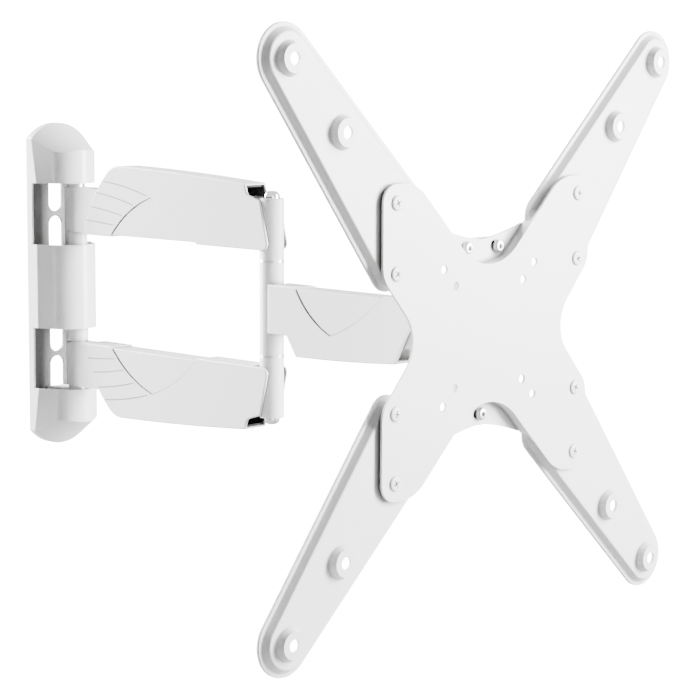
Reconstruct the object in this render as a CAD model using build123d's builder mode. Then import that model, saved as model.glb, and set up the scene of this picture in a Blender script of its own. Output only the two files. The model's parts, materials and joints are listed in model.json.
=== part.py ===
from build123d import *
import os
from math import atan2, cos, degrees, hypot, radians, sin

# Full motion wall mount for a flat screen, millimetres.
# Origin: centre of the wall plate's back face. +Z up, the room is towards -Y, +X to the right.
# "Out" is a distance from the wall along -Y. "Depth" is a distance behind the faces that the
# screen rests on. At rest both arms stand straight out from the wall.

# ---- driving dimensions ----------------------------------------------------------------
PIVOT_OUT = 32.0            # wall pivot axis
ARM_LENGTH = 256.0          # wall pivot axis to elbow axis
FOREARM_LENGTH = 187.5      # elbow axis to swivel axis
HEAD_DEPTH = 50.0           # swivel axis to the faces that the screen rests on
ELBOW_OUT = PIVOT_OUT + ARM_LENGTH
SWIVEL_OUT = ELBOW_OUT + FOREARM_LENGTH
FACE_OUT = SWIVEL_OUT + HEAD_DEPTH

SKIN = 1.8                  # moulded covers
GAP = 0.3                   # between covers that meet
TUBE_R = 10.0               # pivot, elbow and swivel tubes
BOLT_R = 4.0
RUNNING = 0.05              # radial clearance of a bush on its bolt
BUSH_R = 6.5
BUSH_LENGTH = 12.0
BOLT_HEAD_R = 6.5

# wall plate and its covers
WALL_SHEET = 2.5
WALL_HALF_W = 30.0
RIM_SIDE_Z = 131.0          # height where the rim's straight side ends
RIM_TOP_Z = 145.0
RAIL_DEPTH = 7.3            # rim between the covers
FLANK_OUT = 14.0            # rim depth at the covers
CREASE_X = 23.0
CREASE_OUT = 28.0
CREASE_SOFT = 3.0           # radii of the upright creases
FLANK_SOFT = 2.5
CAP_SOFT = 2.0
NOSE_R = 23.5
NOSE_OUT = 21.0
MIDDLE_HALF_Z = 37.5
OPENING_TOP_Z = 92.0
CROWN_R = (39.1, 22.7)      # crown arch at the rim and at the nose
CROWN_Z = (105.9, 98.3)
SLOT_W = 15.0
SLOT_INNER = (27.0, 61.5)   # slot nearer the middle, lowest and highest point
SLOT_OUTER = (65.5, 104.0)
ANCHOR_SPACING = (34.0, 236.0)
ANCHOR_R = 4.5
PIVOT_TUBE_HALF_Z = 48.7
LUG_Z = 92.5
LUG_T = 4.0

# arms
ARM_HALF_W = 12.0
BEAM_HALF_W = 9.0
BEAM_WALL = 2.5
COLLAR_Z = (49.5, 88.5)
COLLAR_LENGTH = 56.0
ARM_BEAM_Z = (53.0, 85.0)
ELBOW_TOP_Z = 89.5
CAP_NUT_R = 6.6
CAP_NUT_H = 6.0

# forearm
SLEEVE_HALF_Z = 37.6
ELBOW_WASHER_Z = (37.7, 39.9)
FOREARM_BEAM_HALF_Z = 18.0
BARREL_HALF_Z = 32.0

# swivel yoke and tilt head
YOKE_T = 3.5
YOKE_Z = 33.2               # underside of the upper yoke lug
YOKE_HALF_W = 11.0
WEB_GAP = 12.5              # swivel axis to the yoke's web
TILT_DEPTH = 27.0
TILT_TUBE_R = 8.0
TILT_TUBE_HALF_W = 17.0
EAR_X = 17.5
EAR_T = 4.0
EAR_R = 10.0
HEAD_PLATE_DEPTH = 13.2
HEAD_PLATE_T = 3.0
LEVEL_STUB_R = 9.0
LEVEL_SITES = [(-17.0, 63.5), (17.0, 63.5), (0.0, -61.0)]
LEVEL_HEAD_R = 4.8
LEVEL_SCREW_R = 3.0

# screen plate
PLATE_DEPTH = 1.5
PLATE_T = 2.0
ADAPTER_DEPTH = 10.5
ADAPTER_T = 2.5
FIELD_DEPTH = 5.5
FLANGE_DEPTH = 10.2
STAMP_T = 2.0
STEP_RUN = 3.4
STEP_TAPER = degrees(atan2(STEP_RUN, FLANGE_DEPTH - FIELD_DEPTH))
TIP = (200.0, 200.0)
TIP_R = 24.5
EXTENSION_LENGTH = 192.0
EXTENSION_TURN = 48.5       # axis of an extension arm from the horizontal
EXTENSION_TAPER = 4.8
SCREEN_HOLES = (400.0, 300.0)
SCREEN_HOLE_R = 4.5
SMALL_HOLES = (100.0, 75.0)
SMALL_HOLE_R = 3.3
SCREW_R = 2.5
SCREW_SITES = [(100.0, 100.0), (100.0, 50.0)]

os.makedirs("parts", exist_ok=True)


def write(piece, name):
    """Label a finished piece and write its STEP file."""
    piece.label = name
    export_step(piece, f"parts/{name}.step")


def side_plane(out, x=0.0):
    """Plane seen from the left: local x runs out from the wall, local y is up, normal -X."""
    return Plane(origin=(x, -out, 0), x_dir=(0, -1, 0), z_dir=(-1, 0, 0))


def wall_plane(out):
    """Plane parallel to the wall at a distance out from it, normal into the room."""
    return Plane(origin=(0, -out, 0), x_dir=(1, 0, 0), z_dir=(0, -1, 0))


def depth_plane(depth):
    """Plane parallel to the wall at a depth behind the screen, normal into the room."""
    return wall_plane(FACE_OUT - depth)


def level_plane(out, z):
    """Horizontal plane at height z with its origin on the axis that stands that far out."""
    return Plane(origin=(0, -out, z), x_dir=(1, 0, 0), z_dir=(0, 0, 1))


def tube(out, radius, bore, low, high):
    """Vertical tube between two heights, or a plain rod where bore is zero."""
    with BuildPart() as piece:
        with BuildSketch(level_plane(out, low)):
            Circle(radius)
            if bore:
                Circle(bore, mode=Mode.SUBTRACT)
        extrude(amount=high - low)
    return piece.part


def bulged(start, end, bulge):
    """Arc between two points that swells by bulge to the left of the way from start to end."""
    dx = end[0] - start[0]
    dy = end[1] - start[1]
    run = hypot(dx, dy)
    middle = ((start[0] + end[0]) / 2 - dy / run * bulge, (start[1] + end[1]) / 2 + dx / run * bulge)
    ThreePointArc(start, middle, end)


# ======================================================================================
# Wall plate
# ======================================================================================
def arch_face(half_w, side_z, top_z):
    """Upright plate outline with arched ends."""
    with BuildSketch() as face:
        with BuildLine():
            Line((-half_w, -side_z), (-half_w, side_z))
            ThreePointArc((-half_w, side_z), (0, top_z), (half_w, side_z))
            Line((half_w, side_z), (half_w, -side_z))
            ThreePointArc((half_w, -side_z), (0, -top_z), (-half_w, -side_z))
        make_face()
    return face.sketch


with BuildPart() as wall_plate:
    with BuildSketch(wall_plane(0)):
        add(arch_face(WALL_HALF_W - 2.2, RIM_SIDE_Z - 1.5, RIM_TOP_Z - 2.2))
        for side in (-1, 1):
            for low, high in (SLOT_INNER, SLOT_OUTER):
                with Locations((0, side * (low + high) / 2)):
                    SlotOverall(high - low, SLOT_W, rotation=90, mode=Mode.SUBTRACT)
        with GridLocations(*ANCHOR_SPACING, 2, 2):
            Circle(ANCHOR_R, mode=Mode.SUBTRACT)
    extrude(amount=WALL_SHEET)
write(wall_plate.part, "wall_plate")

write(tube(PIVOT_OUT, TUBE_R, BOLT_R, -PIVOT_TUBE_HALF_Z, PIVOT_TUBE_HALF_Z), "pivot_tube")

# The hinge bracket is a U of sheet steel whose legs hold the pivot tube.
with BuildPart() as hinge_bracket:
    with BuildSketch(level_plane(0, -24)):
        with Locations((0, -(WALL_SHEET + PIVOT_OUT) / 2)):
            Rectangle(34, PIVOT_OUT - WALL_SHEET)
            Rectangle(28, PIVOT_OUT - WALL_SHEET - 6, mode=Mode.SUBTRACT)
        with Locations((0, -PIVOT_OUT)):
            Circle(TUBE_R, mode=Mode.SUBTRACT)
    extrude(amount=48)
write(hinge_bracket.part, "hinge_bracket")

# Each pivot lug is a steel tongue from the wall plate round the outer end of a pivot bolt.
with BuildPart() as upper_pivot_lug:
    with BuildSketch(level_plane(0, LUG_Z)):
        with BuildLine():
            Polyline((-TUBE_R, -PIVOT_OUT), (-13, -WALL_SHEET), (13, -WALL_SHEET), (TUBE_R, -PIVOT_OUT))
            ThreePointArc((TUBE_R, -PIVOT_OUT), (0, -PIVOT_OUT - TUBE_R), (-TUBE_R, -PIVOT_OUT))
        make_face()
        with Locations((0, -PIVOT_OUT)):
            Circle(BOLT_R, mode=Mode.SUBTRACT)
    extrude(amount=LUG_T)
write(upper_pivot_lug.part, "upper_pivot_lug")
write(mirror(upper_pivot_lug.part, about=Plane.XY), "lower_pivot_lug")

with BuildPart() as pivot_bolts:
    with BuildSketch(level_plane(PIVOT_OUT, 20)):
        Circle(BOLT_R)
    extrude(amount=LUG_Z + LUG_T - 20)
    with BuildSketch(level_plane(PIVOT_OUT, LUG_Z + LUG_T)):
        Circle(BOLT_HEAD_R)
    extrude(amount=5)
    with BuildSketch(level_plane(PIVOT_OUT, LUG_Z + LUG_T + 5)):
        RegularPolygon(3.4, 6)
    extrude(amount=-3, mode=Mode.SUBTRACT)
    mirror(about=Plane.XY)
write(pivot_bolts.part, "pivot_bolts")

with BuildPart() as pivot_washers:
    for low, high in ((PIVOT_TUBE_HALF_Z, COLLAR_Z[0] - 0.1), (COLLAR_Z[1] + 0.1, LUG_Z)):
        with BuildSketch(level_plane(PIVOT_OUT, low)):
            Circle(8.0)
            Circle(BOLT_R, mode=Mode.SUBTRACT)
        extrude(amount=high - low)
    mirror(about=Plane.XY)
write(pivot_washers.part, "pivot_washers")


# ---- moulded covers of the wall plate --------------------------------------------------
def plan_face(inset, flank_out, rounds=()):
    """Plan of a cover: a nose arc on slanted flanks on straight rim sides, with rounded corners."""
    half_w = WALL_HALF_W - inset
    crease_x = CREASE_X - inset
    nose = -NOSE_OUT - NOSE_R + inset
    with BuildSketch() as face:
        with BuildLine():
            Polyline((-crease_x, -CREASE_OUT), (-half_w, -flank_out), (-half_w, 0), (half_w, 0),
                     (half_w, -flank_out), (crease_x, -CREASE_OUT))
            ThreePointArc((crease_x, -CREASE_OUT), (0, nose), (-crease_x, -CREASE_OUT))
        make_face()
        for corner, radius in rounds:
            for side in (-1, 1):
                fillet(face.vertices().sort_by_distance((side * corner[0], corner[1]))[0], radius)
    return face.sketch


def crown_cone(inset):
    """Leaning cone whose upper side is the crown of a cap."""
    with BuildPart() as cone:
        with BuildSketch(wall_plane(RAIL_DEPTH - inset)):
            with Locations((0, CROWN_Z[0])):
                Circle(CROWN_R[0] - inset)
        with BuildSketch(wall_plane(NOSE_OUT + NOSE_R + 1)):
            with Locations((0, CROWN_Z[1])):
                Circle(CROWN_R[1] - inset)
        loft()
    return cone.part


def cap_form(inset, bottom):
    """Solid of the upper cap from a bottom height up to its crown, smaller by the inset."""
    slope = (FLANK_OUT - RAIL_DEPTH) / (RIM_SIDE_Z - OPENING_TOP_Z)
    top = RIM_TOP_Z + 2
    with BuildPart() as form:
        with BuildSketch(level_plane(0, bottom)):
            add(plan_face(inset, FLANK_OUT - slope * (bottom - OPENING_TOP_Z)))
        with BuildSketch(level_plane(0, top)):
            add(plan_face(inset, FLANK_OUT - slope * (top - OPENING_TOP_Z)))
        loft()
        add(crown_cone(inset), mode=Mode.INTERSECT)
        with BuildSketch(wall_plane(0)):
            add(arch_face(WALL_HALF_W - inset, RIM_SIDE_Z - 0.5 * inset, RIM_TOP_Z - inset))
            with Locations((0, bottom - 150)):
                Rectangle(80, 300, mode=Mode.SUBTRACT)
        extrude(amount=RAIL_DEPTH - inset)
    return form.part


CAP_CREASE = (CREASE_X, -CREASE_OUT, 106.9)     # a point on each upright edge
CAP_FLANK = (WALL_HALF_W, -10.7, 111.5)

with BuildPart() as upper_cap:
    add(cap_form(0, OPENING_TOP_Z))
    for x, y, z in (CAP_CREASE, CAP_FLANK):
        for side in (-1, 1):
            fillet(upper_cap.edges().sort_by_distance((side * x, y, z))[0], CAP_SOFT)
    add(cap_form(SKIN, OPENING_TOP_Z - 1), mode=Mode.SUBTRACT)
    with BuildSketch(wall_plane(0)):
        for side in (-1, 1):
            with Locations((side * (WALL_HALF_W - SKIN / 2), (OPENING_TOP_Z + MIDDLE_HALF_Z + GAP) / 2)):
                Rectangle(SKIN, OPENING_TOP_Z - MIDDLE_HALF_Z - GAP)
    extrude(amount=RAIL_DEPTH)
write(upper_cap.part, "upper_cap")
write(mirror(upper_cap.part, about=Plane.XY), "lower_cap")

MIDDLE_ROUNDS = [((CREASE_X, -CREASE_OUT), CREASE_SOFT), ((WALL_HALF_W, -FLANK_OUT), FLANK_SOFT)]

with BuildPart() as middle_cover:
    with BuildSketch(level_plane(0, -MIDDLE_HALF_Z)):
        add(plan_face(0, FLANK_OUT, MIDDLE_ROUNDS))
    extrude(amount=2 * MIDDLE_HALF_Z)
    with BuildSketch(level_plane(0, -MIDDLE_HALF_Z)):
        add(plan_face(SKIN, FLANK_OUT))
    extrude(amount=2 * MIDDLE_HALF_Z, mode=Mode.SUBTRACT)
write(middle_cover.part, "middle_cover")


# ======================================================================================
# Moulded casings of the arms and the forearm
# ======================================================================================
# Every outline point is (distance out from the arm's own axis, height).
def casing_half(outline, out):
    """Left half of a casing: a dished shell from its outer face to the middle plane."""
    with BuildPart() as piece:
        with BuildSketch(side_plane(out)):
            add(outline)
        extrude(amount=ARM_HALF_W)
        fillet(piece.faces().sort_by(Axis.X)[0].edges(), 1.2)
        with BuildSketch(side_plane(out)):
            add(outline)
            offset(amount=-SKIN, mode=Mode.REPLACE)
        extrude(amount=ARM_HALF_W - SKIN, mode=Mode.SUBTRACT)
    return piece.part


def lens_face(lens, bulges, shift=0.0):
    """Region between two arcs that run from an apex to two feet beyond the casing's edge."""
    left, apex, right = lens
    with BuildSketch() as face:
        with Locations((shift, 0)):
            with BuildLine():
                bulged(left, apex, bulges[0])
                bulged(apex, right, bulges[1])
                Line(right, left)
            make_face()
    return face.sketch.moved(Location((shift, 0)))


def box_cut(out, low, high, half_w):
    """Block between two outline corners, as wide as half_w each side of the middle plane."""
    with BuildPart() as piece:
        with BuildSketch(side_plane(out, half_w)):
            with Locations(((low[0] + high[0]) / 2, (low[1] + high[1]) / 2)):
                Rectangle(high[0] - low[0], high[1] - low[1])
        extrude(amount=2 * half_w)
    return piece.part


LENS_GAP = 1.7              # open gap on the wall side of a cable door
DOOR_RECESS = 0.5
GROOVE_W = 0.9
GROOVE_DEPTH = 0.8


def door_half(out, lens, bulges, edge_box, beam_box):
    """Left cable door: a lens-shaped lid with a lip under the casing's edge."""
    with BuildPart() as piece:
        with BuildSketch(side_plane(out)):
            add(lens_face(lens, bulges, LENS_GAP))
            add(lens_face(lens, bulges, -GAP), mode=Mode.INTERSECT)
        extrude(amount=ARM_HALF_W - DOOR_RECESS)
        add(edge_box, mode=Mode.INTERSECT)
        fillet(piece.faces().sort_by(Axis.X)[0].edges(), 0.6)
        add(beam_box, mode=Mode.SUBTRACT)
    return piece.part


# ---- arm casing, upper left -------------------------------------------------------------
ARM_EDGE = [(25.7, 48.2), (35.5, 74.0), (66.5, 110.1)]          # wall end
ARM_TOP = [(66.5, 110.1), (154.0, 106.7), (236.0, 101.1)]
ARM_END = [(236.0, 101.1), (238.8, 92.2), (254.2, 87.6), (264.2, 47.5), (25.7, 48.2)]
ARM_ROUNDS = [(ARM_TOP[0], 24.0), (ARM_END[0], 2.0), (ARM_END[1], 5.0), (ARM_END[2], 2.0), (ARM_END[3], 5.5)]
ARM_LENS = [(60.5, 46.0), (117.5, 84.6), (178.4, 46.0)]
ARM_LENS_BULGE = (5.4, 5.1)
ARM_DOOR_EDGE_Z = 49.5
LINER_HALF_W = 10.0
LINER_T = 0.8
LINER_LOW = (140.0, 89.9)
LINER_HIGH = (260.0, 110.0)
ARM_RIBS = [((30.3, 61.5), (67.5, 58.8), 0.4), ((34.8, 73.6), (79.5, 67.5), 0.8),
            ((42.2, 86.3), (93.5, 77.5), 1.2), ((51.0, 96.6), (112.0, 86.2), 1.6)]

with BuildSketch() as arm_outline:
    with BuildLine():
        ThreePointArc(*ARM_EDGE)
        ThreePointArc(*ARM_TOP)
        Polyline(*ARM_END)
    make_face()
    for corner, radius in ARM_ROUNDS:
        fillet(arm_outline.vertices().sort_by_distance(corner)[0], radius)

with BuildPart() as arm_left_cover:
    add(casing_half(arm_outline.sketch, PIVOT_OUT))
    with BuildSketch(side_plane(PIVOT_OUT)):
        add(lens_face(ARM_LENS, ARM_LENS_BULGE))
    extrude(amount=ARM_HALF_W, mode=Mode.SUBTRACT)
    add(box_cut(PIVOT_OUT, (0, COLLAR_Z[0] - GAP), (COLLAR_LENGTH + 15, COLLAR_Z[1] + GAP), TUBE_R + 0.2),
        mode=Mode.SUBTRACT)
    add(box_cut(PIVOT_OUT, (ARM_LENGTH - 22, 40), (ARM_LENGTH + 15, 99.5), TUBE_R + 0.2), mode=Mode.SUBTRACT)
    with BuildSketch(side_plane(PIVOT_OUT, -ARM_HALF_W)):
        for start, end, bulge in ARM_RIBS:
            with BuildLine():
                bulged(start, end, bulge)
                Line(end, (end[0], end[1] - GROOVE_W))
                bulged((end[0], end[1] - GROOVE_W), (start[0], start[1] - GROOVE_W), -bulge)
                Line((start[0], start[1] - GROOVE_W), start)
            make_face()
    extrude(amount=-GROOVE_DEPTH, mode=Mode.SUBTRACT)

arm_left_door = door_half(
    PIVOT_OUT, ARM_LENS, ARM_LENS_BULGE,
    box_cut(PIVOT_OUT, (50, ARM_DOOR_EDGE_Z), (190, 95), ARM_HALF_W),
    box_cut(PIVOT_OUT, (50, ARM_DOOR_EDGE_Z + SKIN), (190, 95), ARM_HALF_W - DOOR_RECESS - SKIN))

# A black liner keeps the cables off the casing's walls above the beam.
with BuildPart() as upper_arm_liner:
    for half_w, inset in ((LINER_HALF_W, SKIN + GAP), (LINER_HALF_W - LINER_T, SKIN + GAP + LINER_T)):
        with BuildSketch(side_plane(PIVOT_OUT, half_w)):
            add(arm_outline.sketch)
            offset(amount=-inset, mode=Mode.REPLACE)
        extrude(amount=2 * half_w, mode=Mode.ADD if inset == SKIN + GAP else Mode.SUBTRACT)
    add(box_cut(PIVOT_OUT, LINER_LOW, LINER_HIGH, ARM_HALF_W), mode=Mode.INTERSECT)
    add(box_cut(PIVOT_OUT, (ARM_LENGTH - 24, 80), (ARM_LENGTH + 15, 97.8), LINER_HALF_W - LINER_T),
        mode=Mode.SUBTRACT)
write(upper_arm_liner.part, "upper_arm_liner")
write(mirror(upper_arm_liner.part, about=Plane.XY), "lower_arm_liner")

for level, about in (("upper", None), ("lower", Plane.XY)):
    for part_name, left in (("cover", arm_left_cover.part), ("door", arm_left_door)):
        piece = left if about is None else mirror(left, about=about)
        write(piece, f"{level}_arm_left_{part_name}")
        write(mirror(piece, about=Plane.YZ), f"{level}_arm_right_{part_name}")

# ---- forearm casing, left ----------------------------------------------------------------
FOREARM_TOP = [(40.0, -35.4), (29.5, -19.3), (7.5, -19.3), (7.5, 20.6), (159.5, 20.6), (166.1, 10.0),
               (166.1, -1.5), (150.3, -30.8)]
FOREARM_BELLY = [(150.3, -30.8), (91.5, -34.2), (40.0, -35.4)]
FOREARM_ROUNDS = [(FOREARM_TOP[0], 3.0), (FOREARM_TOP[1], 2.0), (FOREARM_TOP[4], 4.0), (FOREARM_TOP[5], 6.0),
                  (FOREARM_TOP[6], 6.0), (FOREARM_TOP[7], 3.0)]
FOREARM_LENS = [(37.3, 23.3), (79.5, -15.3), (139.5, 22.7)]
FOREARM_LENS_BULGE = (-5.3, -4.3)
FOREARM_DOOR_EDGE_Z = 19.4

with BuildSketch() as forearm_outline:
    with BuildLine():
        Polyline(*FOREARM_TOP)
        ThreePointArc(*FOREARM_BELLY)
    make_face()
    for corner, radius in FOREARM_ROUNDS:
        fillet(forearm_outline.vertices().sort_by_distance(corner)[0], radius)

with BuildPart() as forearm_left_cover:
    add(casing_half(forearm_outline.sketch, ELBOW_OUT))
    with BuildSketch(side_plane(ELBOW_OUT)):
        add(lens_face(FOREARM_LENS, FOREARM_LENS_BULGE))
    extrude(amount=ARM_HALF_W, mode=Mode.SUBTRACT)
    add(box_cut(ELBOW_OUT, (-5, -25), (10.6, 25), TUBE_R + 0.2), mode=Mode.SUBTRACT)
    add(box_cut(ELBOW_OUT, (10, -FOREARM_BEAM_HALF_Z - 0.1), (32, FOREARM_BEAM_HALF_Z), TUBE_R + 0.2),
        mode=Mode.SUBTRACT)
    add(box_cut(ELBOW_OUT, (145, -28.5), (175, FOREARM_BEAM_HALF_Z + 0.5), TUBE_R + 0.2), mode=Mode.SUBTRACT)
write(forearm_left_cover.part, "forearm_left_cover")
write(mirror(forearm_left_cover.part, about=Plane.YZ), "forearm_right_cover")

forearm_left_door = door_half(
    ELBOW_OUT, FOREARM_LENS, FOREARM_LENS_BULGE,
    box_cut(ELBOW_OUT, (30, -25), (150, FOREARM_DOOR_EDGE_Z), ARM_HALF_W),
    box_cut(ELBOW_OUT, (30, -25), (150, FOREARM_BEAM_HALF_Z + 0.1), ARM_HALF_W - DOOR_RECESS - SKIN))
write(forearm_left_door, "forearm_left_door")
write(mirror(forearm_left_door, about=Plane.YZ), "forearm_right_door")


# ======================================================================================
# Steel of the arms, elbow and forearm
# ======================================================================================
def box_beam(start, length, low, high):
    """Rectangular steel tube along the arm between two heights."""
    with BuildPart() as piece:
        with BuildSketch(Plane(origin=(0, -start, 0), x_dir=(1, 0, 0), z_dir=(0, -1, 0))):
            with Locations((0, (low + high) / 2)):
                Rectangle(2 * BEAM_HALF_W, high - low)
                Rectangle(2 * (BEAM_HALF_W - BEAM_WALL), high - low - 2 * BEAM_WALL, mode=Mode.SUBTRACT)
        extrude(amount=length)
    return piece.part


with BuildPart() as upper_arm_beam:
    with BuildSketch(level_plane(PIVOT_OUT, COLLAR_Z[0])):
        Circle(TUBE_R)
        with Locations((0, -COLLAR_LENGTH / 2)):
            Rectangle(2 * TUBE_R, COLLAR_LENGTH)
        with Locations((0, -(COLLAR_LENGTH + 14) / 2)):
            Rectangle(2 * (TUBE_R - BEAM_WALL), COLLAR_LENGTH - 14, mode=Mode.SUBTRACT)
        Circle(BUSH_R, mode=Mode.SUBTRACT)
    extrude(amount=COLLAR_Z[1] - COLLAR_Z[0])
    add(box_beam(PIVOT_OUT + COLLAR_LENGTH, ARM_LENGTH - COLLAR_LENGTH, *ARM_BEAM_Z))
    with BuildSketch(level_plane(ELBOW_OUT, 0)):
        Circle(TUBE_R)
    extrude(amount=120, mode=Mode.SUBTRACT)
    for wall_z in (ARM_BEAM_Z[0], ARM_BEAM_Z[1] - BEAM_WALL):
        with BuildSketch(level_plane(PIVOT_OUT, wall_z)):
            with Locations((0, -COLLAR_LENGTH + 2)):
                Rectangle(2 * (TUBE_R - BEAM_WALL), 4)
        extrude(amount=BEAM_WALL)
write(upper_arm_beam.part, "upper_arm_beam")
write(mirror(upper_arm_beam.part, about=Plane.XY), "lower_arm_beam")

upper_elbow_tube = tube(ELBOW_OUT, TUBE_R, BOLT_R, ELBOW_WASHER_Z[1], ELBOW_TOP_Z)
write(upper_elbow_tube, "upper_elbow_tube")
write(mirror(upper_elbow_tube, about=Plane.XY), "lower_elbow_tube")


def bush_set(out, faces):
    """Plain bushes, each from an end face inwards."""
    with BuildPart() as piece:
        for low, high in faces:
            with BuildSketch(level_plane(out, low)):
                Circle(BUSH_R)
                Circle(BOLT_R + RUNNING, mode=Mode.SUBTRACT)
            extrude(amount=high - low)
        mirror(about=Plane.XY)
    return piece.part


arm_bush_faces = [(COLLAR_Z[0], COLLAR_Z[0] + BUSH_LENGTH), (COLLAR_Z[1] - BUSH_LENGTH, COLLAR_Z[1])]
write(bush_set(PIVOT_OUT, arm_bush_faces), "arm_bushes")
write(bush_set(ELBOW_OUT, [(SLEEVE_HALF_Z - BUSH_LENGTH, SLEEVE_HALF_Z)]), "elbow_bushes")
write(bush_set(SWIVEL_OUT, [(BARREL_HALF_Z - BUSH_LENGTH, BARREL_HALF_Z)]), "swivel_bushes")

NUT_BORE = 2.5
write(tube(ELBOW_OUT, BOLT_R, 0, -ELBOW_TOP_Z - NUT_BORE, ELBOW_TOP_Z + NUT_BORE), "elbow_bolt")

with BuildPart() as elbow_washers:
    with BuildSketch(level_plane(ELBOW_OUT, ELBOW_WASHER_Z[0])):
        Circle(TUBE_R)
        Circle(BOLT_R, mode=Mode.SUBTRACT)
    extrude(amount=ELBOW_WASHER_Z[1] - ELBOW_WASHER_Z[0])
    mirror(about=Plane.XY)
write(elbow_washers.part, "elbow_washers")

with BuildPart() as elbow_cap_nuts:
    with BuildSketch(level_plane(ELBOW_OUT, ELBOW_TOP_Z)):
        Circle(CAP_NUT_R)
    extrude(amount=CAP_NUT_H)
    fillet(elbow_cap_nuts.faces().sort_by(Axis.Z)[-1].edges(), 0.7 * CAP_NUT_R)
    with BuildSketch(level_plane(ELBOW_OUT, ELBOW_TOP_Z)):
        Circle(BOLT_R)
    extrude(amount=NUT_BORE, mode=Mode.SUBTRACT)
    mirror(about=Plane.XY)
write(elbow_cap_nuts.part, "elbow_cap_nuts")

write(tube(ELBOW_OUT, TUBE_R, BUSH_R, -SLEEVE_HALF_Z, SLEEVE_HALF_Z), "elbow_sleeve")
write(tube(SWIVEL_OUT, TUBE_R, BUSH_R, -BARREL_HALF_Z, BARREL_HALF_Z), "swivel_barrel")

with BuildPart() as forearm_beam:
    add(box_beam(ELBOW_OUT, FOREARM_LENGTH, -FOREARM_BEAM_HALF_Z, FOREARM_BEAM_HALF_Z))
    for out in (ELBOW_OUT, SWIVEL_OUT):
        with BuildSketch(level_plane(out, -50)):
            Circle(TUBE_R)
        extrude(amount=100, mode=Mode.SUBTRACT)
write(forearm_beam.part, "forearm_beam")


# ======================================================================================
# Swivel yoke and tilt head
# ======================================================================================
YOKE_TOP_Z = YOKE_Z + YOKE_T
TILT_OUT = FACE_OUT - TILT_DEPTH
TILT_AXIS_PLANE = Plane(origin=(-TILT_TUBE_HALF_W, -TILT_OUT, 0), x_dir=(0, -1, 0), z_dir=(1, 0, 0))

with BuildPart() as swivel_yoke:
    with BuildSketch(level_plane(SWIVEL_OUT, -YOKE_TOP_Z)):
        Circle(YOKE_HALF_W)
        with Locations((0, -(WEB_GAP + YOKE_T) / 2)):
            Rectangle(2 * YOKE_HALF_W, WEB_GAP + YOKE_T)
    extrude(amount=2 * YOKE_TOP_Z)
    with BuildSketch(level_plane(SWIVEL_OUT, -YOKE_Z)):
        with Locations((0, 2 * YOKE_HALF_W - WEB_GAP)):
            Rectangle(3 * YOKE_HALF_W, 4 * YOKE_HALF_W)
    extrude(amount=2 * YOKE_Z, mode=Mode.SUBTRACT)
    with BuildSketch(TILT_AXIS_PLANE):
        Circle(TILT_TUBE_R)
    extrude(amount=2 * TILT_TUBE_HALF_W)
    with BuildSketch(TILT_AXIS_PLANE):
        Circle(BOLT_R + RUNNING)
    extrude(amount=2 * TILT_TUBE_HALF_W, mode=Mode.SUBTRACT)
    with BuildSketch(level_plane(SWIVEL_OUT, -50)):
        Circle(BOLT_R)
    extrude(amount=100, mode=Mode.SUBTRACT)
write(swivel_yoke.part, "swivel_yoke")

with BuildPart() as swivel_bolt:
    add(tube(SWIVEL_OUT, BOLT_R, 0, -YOKE_TOP_Z - 4, YOKE_TOP_Z))
    with BuildSketch(level_plane(SWIVEL_OUT, YOKE_TOP_Z)):
        Circle(BOLT_HEAD_R)
    extrude(amount=3.6)
    fillet(swivel_bolt.faces().sort_by(Axis.Z)[-1].edges(), 1.5)
write(swivel_bolt.part, "swivel_bolt")

with BuildPart() as swivel_nut:
    with BuildSketch(level_plane(SWIVEL_OUT, -YOKE_TOP_Z - 4)):
        RegularPolygon(6.8, 6)
        Circle(BOLT_R, mode=Mode.SUBTRACT)
    extrude(amount=4)
write(swivel_nut.part, "swivel_nut")

with BuildPart() as swivel_washers:
    add(tube(SWIVEL_OUT, 9.0, BOLT_R, BARREL_HALF_Z + 0.1, YOKE_Z))
    mirror(about=Plane.XY)
write(swivel_washers.part, "swivel_washers")

with BuildPart() as head_plate:
    with BuildSketch(depth_plane(HEAD_PLATE_DEPTH + HEAD_PLATE_T)):
        RectangleRounded(52, 140.6, 8)
        for site in LEVEL_SITES:
            with Locations(site):
                Circle(LEVEL_SCREW_R, mode=Mode.SUBTRACT)
    extrude(amount=HEAD_PLATE_T)
    with BuildSketch(depth_plane(HEAD_PLATE_DEPTH)):
        Circle(LEVEL_STUB_R)
    extrude(amount=ADAPTER_T)
    for ear_x in (EAR_X, -EAR_X - EAR_T):
        with BuildSketch(Plane(origin=(ear_x, -TILT_OUT, 0), x_dir=(0, -1, 0), z_dir=(1, 0, 0))):
            Circle(EAR_R)
            with Locations(((TILT_DEPTH - HEAD_PLATE_DEPTH - HEAD_PLATE_T) / 2, 0)):
                Rectangle(TILT_DEPTH - HEAD_PLATE_DEPTH - HEAD_PLATE_T, 2 * EAR_R)
            Circle(BOLT_R, mode=Mode.SUBTRACT)
        extrude(amount=EAR_T)
write(head_plate.part, "head_plate")

EAR_OUTER = EAR_X + EAR_T
with BuildPart() as tilt_bolt:
    with BuildSketch(Plane(origin=(-EAR_OUTER, -TILT_OUT, 0), x_dir=(0, -1, 0), z_dir=(1, 0, 0))):
        Circle(BOLT_R)
    extrude(amount=2 * EAR_OUTER + 8)
    with BuildSketch(Plane(origin=(-EAR_OUTER, -TILT_OUT, 0), x_dir=(0, -1, 0), z_dir=(-1, 0, 0))):
        Circle(BOLT_HEAD_R)
    extrude(amount=5)
    with BuildSketch(Plane(origin=(-EAR_OUTER - 5, -TILT_OUT, 0), x_dir=(0, -1, 0), z_dir=(1, 0, 0))):
        RegularPolygon(3.4, 6)
    extrude(amount=3, mode=Mode.SUBTRACT)
write(tilt_bolt.part, "tilt_bolt")

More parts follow.
